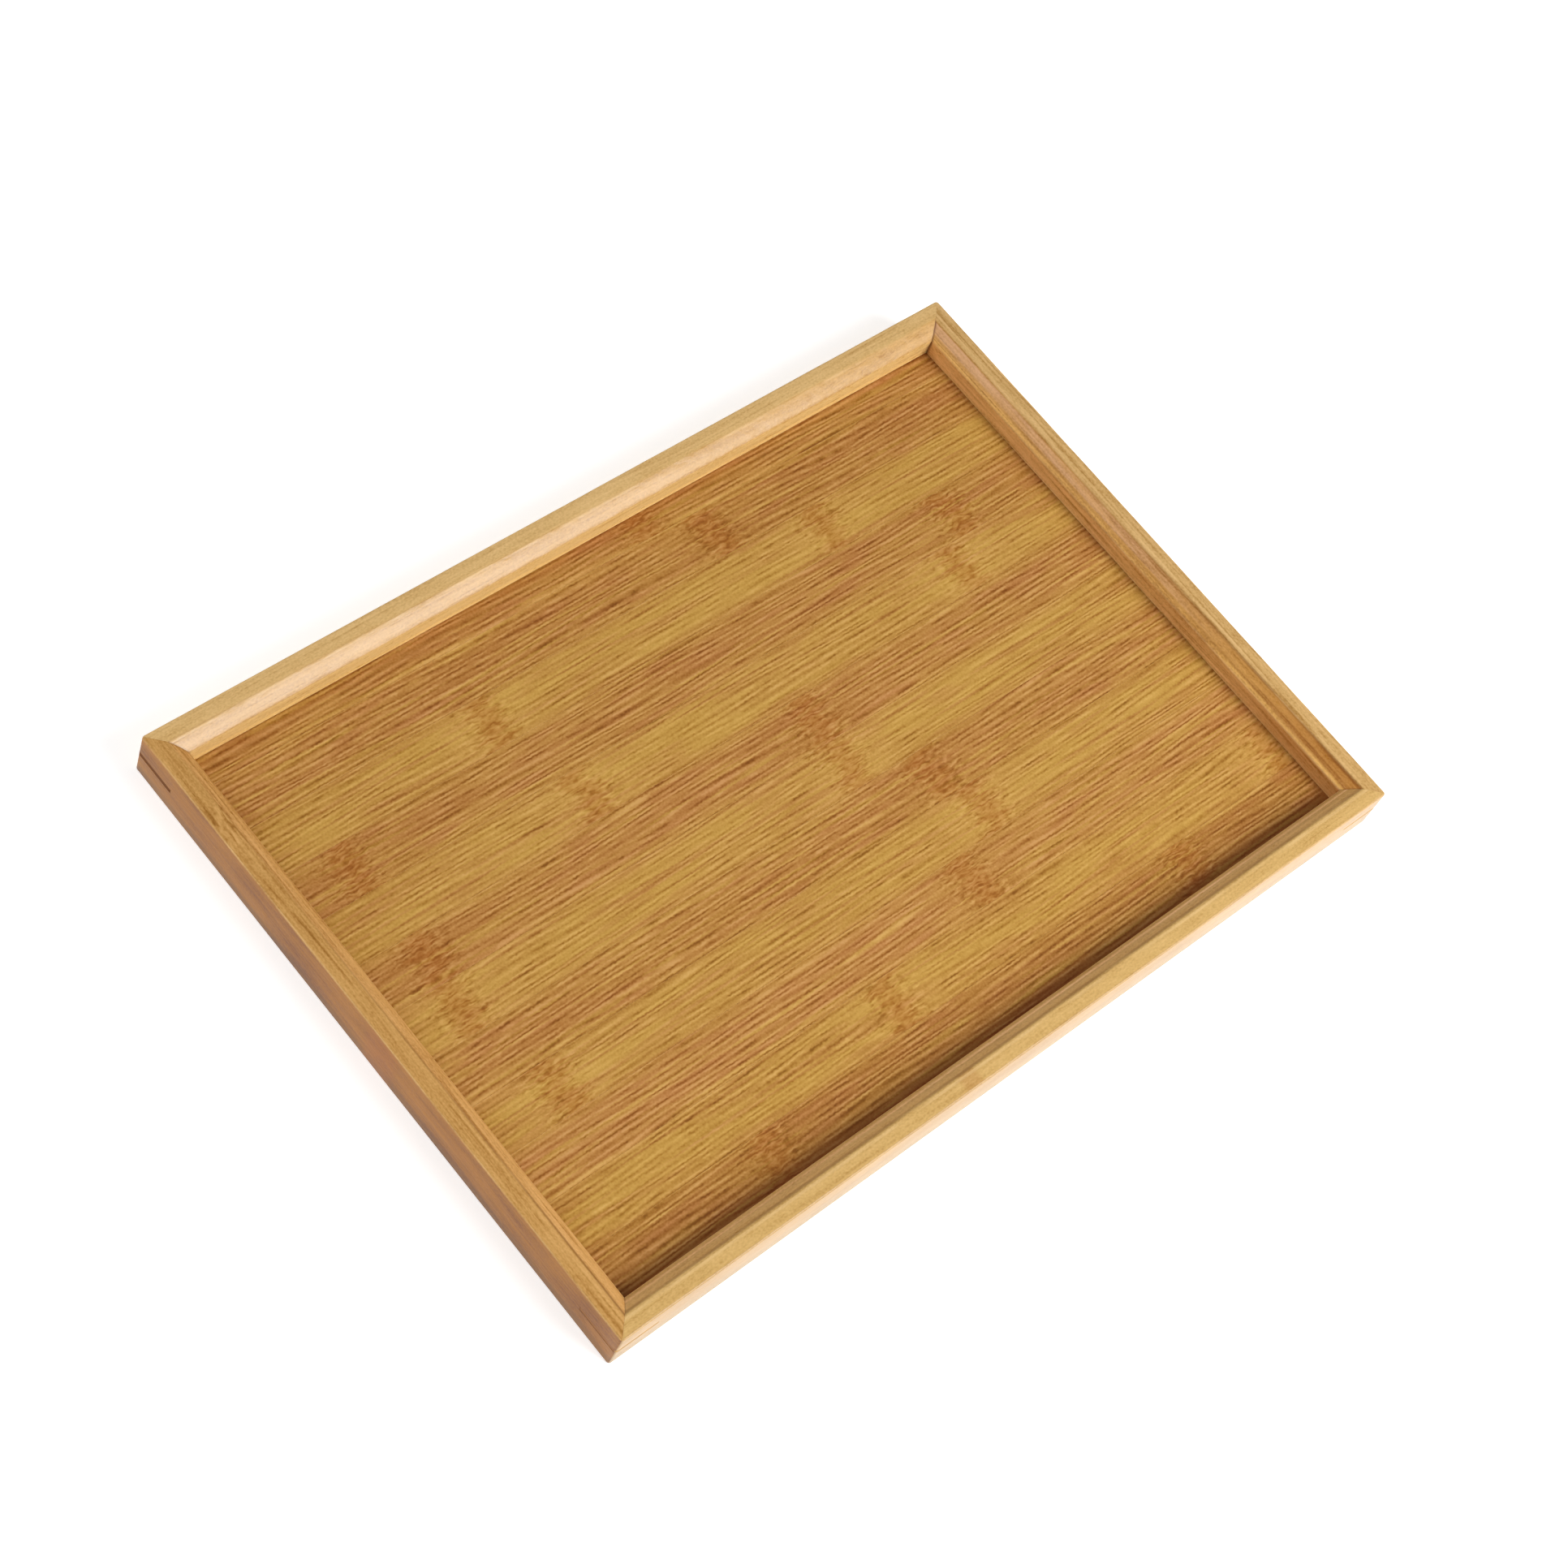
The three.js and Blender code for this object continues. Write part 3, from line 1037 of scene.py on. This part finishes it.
def make_rail(node, length, place, turn, seed):
    look = RAIL_LOOKS[node]
    matrix = Matrix.Translation(place) @ Matrix.Rotation(turn, 4, "Z")
    material = rail_wood(node + "_wood", place, turn, length, look, seed)
    made = skin(node + "_moulding", rail_rings(length, look["gaps"], seed), material, matrix)
    key_low, key_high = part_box("key_front_left")
    for side, gap in zip((-1, 1), look["key_gaps"]):
        bottom = key_low.z / MM - gap
        top = key_high.z / MM + gap
        cut(made, skin("kerf", kerf_rings(length, side, bottom, top), None, matrix))
    smooth(made)
    attach(made, node)


def make_rails():
    half_length = cad_high.x
    half_width = cad_high.y
    make_rail("front_rail", tray_length, Vector((0, -half_width, 0)), 0.0, 1.0)
    make_rail("right_rail", tray_width, Vector((half_length, 0, 0)), math.pi / 2, 2.0)
    make_rail("back_rail", tray_length, Vector((0, half_width, 0)), math.pi, 3.0)
    make_rail("left_rail", tray_width, Vector((-half_length, 0, 0)), -math.pi / 2, 4.0)


# Keys

PALE_KEY = (187, 146, 87)
WARM_KEY = (150, 102, 62)
DARK_KEY = (130, 90, 52)
DARKEST_KEY = (112, 64, 24)


def make_key(node, place, turn, ends, seed):
    low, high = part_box(node)
    leg = kerf_leg() - KEY_GLUE * math.sqrt(2)
    matrix = Matrix.Translation(place) @ Matrix.Rotation(turn, 4, "Z")
    bottom = low.z / MM
    top = high.z / MM
    rings = []
    for z, inset in ((bottom, KEY_EASE), (bottom + KEY_EASE, 0), (top - KEY_EASE, 0), (top, KEY_EASE)):
        edge = KEY_RECESS + inset
        tip = leg - 2 * edge
        outline = eased([(edge, edge, CORNER_RADIUS), (tip, edge, 0), (edge, tip, 0)], ARRIS_STEPS)
        rings.append([Vector((x, y, z)) for x, y in outline])
    material = key_wood(node + "_wood", place, turn, ends, seed)
    made = skin(node + "_slip", rings, material, matrix)
    smooth(made)
    attach(made, node)


def make_keys():
    half_length = cad_high.x
    half_width = cad_high.y
    front_left = Vector((-half_length, -half_width, 0))
    front_right = Vector((half_length, -half_width, 0))
    back_right = Vector((half_length, half_width, 0))
    back_left = Vector((-half_length, half_width, 0))
    make_key("key_front_left", front_left, 0.0, (PALE_KEY, WARM_KEY), 1.5)
    make_key("key_front_right", front_right, math.pi / 2, (DARK_KEY, PALE_KEY), 2.5)
    make_key("key_back_right", back_right, math.pi, (DARK_KEY, DARK_KEY), 3.5)
    make_key("key_back_left", back_left, -math.pi / 2, (DARKEST_KEY, DARK_KEY), 4.5)


# Floor


def strip_rings(low, high, knuckles):
    """Rings along a strip, with its knuckles standing a hair proud of the sanded top."""
    close = (STRIP_GLUE - STRIP_SEAM) / 2
    left, right = low.x / MM, high.x / MM
    front, back = low.y / MM - close, high.y / MM + close
    bottom, top = low.z / MM, high.z / MM
    stations = {left + (right - left) * step / STRIP_STEPS for step in range(STRIP_STEPS + 1)}
    for at in knuckles:
        for step in range(-KNUCKLE_STEPS, KNUCKLE_STEPS + 1):
            stations.add(at + step * KNUCKLE_RIDGE_WIDTH / 2)
    rings = []
    for x in sorted(x for x in stations if left <= x <= right):
        ridge = sum(KNUCKLE_RIDGE * math.exp(-(((x - at) / KNUCKLE_RIDGE_WIDTH) ** 2)) for at in knuckles)
        ring = [
            Vector((x, front, bottom + STRIP_EASE)),
            Vector((x, front + STRIP_EASE, bottom)),
            Vector((x, back - STRIP_EASE, bottom)),
            Vector((x, back, bottom + STRIP_EASE)),
            Vector((x, back, top - STRIP_EASE)),
        ]
        for step in range(ACROSS_STEPS + 1):
            share = step / ACROSS_STEPS
            y = (back - STRIP_EASE) * (1 - share) + (front + STRIP_EASE) * share
            ring.append(Vector((x, y, top + ridge * 4 * share * (1 - share))))
        ring.append(Vector((x, front, top - STRIP_EASE)))
        rings.append(ring)
    return rings


def make_floor():
    for index, (shade, knuckles) in enumerate(STRIPS):
        node = f"floor_strip_{index + 1:02d}"
        low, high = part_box(node)
        yellow = index > 0 and index % 2 == 0
        centre = Vector((0, (low.y + high.y) / 2, high.z))
        width = (high.y - low.y) / MM
        seed = FIRST_STRIP_SEED + index * STRIP_SEED_STEP
        material = floor_wood(node + "_wood", centre, width, yellow, shade, knuckles, seed)
        made = skin(node + "_board", strip_rings(low, high, knuckles), material)
        smooth(made)
        attach(made, node)


# Stage: lengths in metres. Its paint glows a little by the tray, and more where the lights don't reach

WHITE = (1.0, 1.0, 1.0, 1.0)
STAGE_SIZE = 60.0
STAGE_SQUARES = 4
STAGE_DROP = 0.05 * MM
STAGE_GREYS = ((0.93, 0.93, 0.93, 1.0), (0.96, 0.96, 0.96, 1.0))
STAGE_CLOUDS = 3.0
STAGE_ROUGHNESS = 0.9
STAGE_SPECULAR = 0.1
STAGE_GLOW = 0.5
STAGE_FAR_GLOW = 0.85
STAGE_FAR = (0.5, 1.6)

# Lights: the way to each from the tray, then its distance and size in metres and its power in watts

LIGHTS = {
    "key_light": (Vector((0.33, -0.72, 0.61)), 1.4, 0.95, 21.4),
    "fill_light": (Vector((-0.45, 0.6, 0.66)), 2.2, 1.0, 13.5),
    "side_light": (Vector((-0.9, 0.1, 0.4)), 1.6, 1.0, 4.5),
}

# The sky's strength overhead and at the horizon, and how high up the paler part reaches

SKY_LIGHT = 0.18
HORIZON_LIGHT = 0.95
HORIZON_FADE = 0.17


def stage_paint():
    graph = Graph("stage_paint")
    place = graph.node("ShaderNodeTexCoord").outputs["Object"]
    clouds = graph.node("ShaderNodeTexNoise", noise_dimensions="3D")
    graph.feed(clouds.inputs["Vector"], place)
    clouds.inputs["Scale"].default_value = STAGE_CLOUDS
    far = graph.band(graph.distance(place, (0.0, 0.0, 0.0)), *STAGE_FAR)
    glow = graph.line(far, STAGE_FAR_GLOW - STAGE_GLOW, STAGE_GLOW)
    graph.shader.inputs["Emission Color"].default_value = WHITE
    graph.feed(graph.shader.inputs["Emission Strength"], glow)
    return graph.finish(graph.blend(clouds.outputs[0], *STAGE_GREYS), STAGE_ROUGHNESS, STAGE_SPECULAR)


def make_stage():
    mesh_maker = bmesh.new()
    bmesh.ops.create_grid(
        mesh_maker, x_segments=STAGE_SQUARES, y_segments=STAGE_SQUARES, size=STAGE_SIZE / 2
    )
    made = place_mesh("stage_floor", mesh_maker, stage_paint())
    made.location.z = -STAGE_DROP


def make_lights():
    """Square soft boxes, looking at the tray."""
    for name, (towards, distance, size, power) in LIGHTS.items():
        data = bpy.data.lights.new(name, "AREA")
        data.shape = "SQUARE"
        data.size = size
        data.energy = power
        light = bpy.data.objects.new(name, data)
        light.location = towards.normalized() * distance
        light.rotation_euler = towards.to_track_quat("Z", "Y").to_euler()
        bpy.context.scene.collection.objects.link(light)


def make_world():
    """A dim sky that grows pale towards the horizon."""
    world = bpy.data.worlds.new("studio")
    world.use_nodes = True
    tree = world.node_tree
    background = tree.nodes["Background"]
    background.inputs["Color"].default_value = WHITE
    direction = tree.nodes.new("ShaderNodeTexCoord")
    split = tree.nodes.new("ShaderNodeSeparateXYZ")
    fade = tree.nodes.new("ShaderNodeMapRange")
    fade.interpolation_type = "SMOOTHSTEP"
    fade.inputs["From Min"].default_value = 0.0
    fade.inputs["From Max"].default_value = HORIZON_FADE
    fade.inputs["To Min"].default_value = HORIZON_LIGHT
    fade.inputs["To Max"].default_value = SKY_LIGHT
    tree.links.new(direction.outputs["Generated"], split.inputs[0])
    tree.links.new(split.outputs["Z"], fade.inputs["Value"])
    tree.links.new(fade.outputs["Result"], background.inputs["Strength"])
    bpy.context.scene.world = world


def make_camera():
    azimuth = math.radians(VIEW_AZIMUTH)
    elevation = math.radians(VIEW_ELEVATION)
    roll = math.radians(VIEW_ROLL)
    back = Vector((
        math.sin(azimuth) * math.cos(elevation),
        -math.cos(azimuth) * math.cos(elevation),
        math.sin(elevation),
    ))
    level_right = Vector((math.cos(azimuth), math.sin(azimuth), 0.0))
    level_up = back.cross(level_right)
    right = level_right * math.cos(roll) + level_up * math.sin(roll)
    up = back.cross(right)
    data = bpy.data.cameras.new("camera")
    data.lens = LENS
    data.sensor_width = SENSOR
    camera = bpy.data.objects.new("camera", data)
    turn = Matrix((right, up, back)).transposed().to_4x4()
    camera.matrix_world = Matrix.Translation(VIEW_AIM + back * VIEW_DISTANCE) @ turn
    bpy.context.scene.collection.objects.link(camera)
    bpy.context.scene.camera = camera


make_rails()
make_keys()
make_floor()
make_stage()
make_lights()
make_world()
make_camera()
bpy.context.scene.view_settings.view_transform = "Standard"
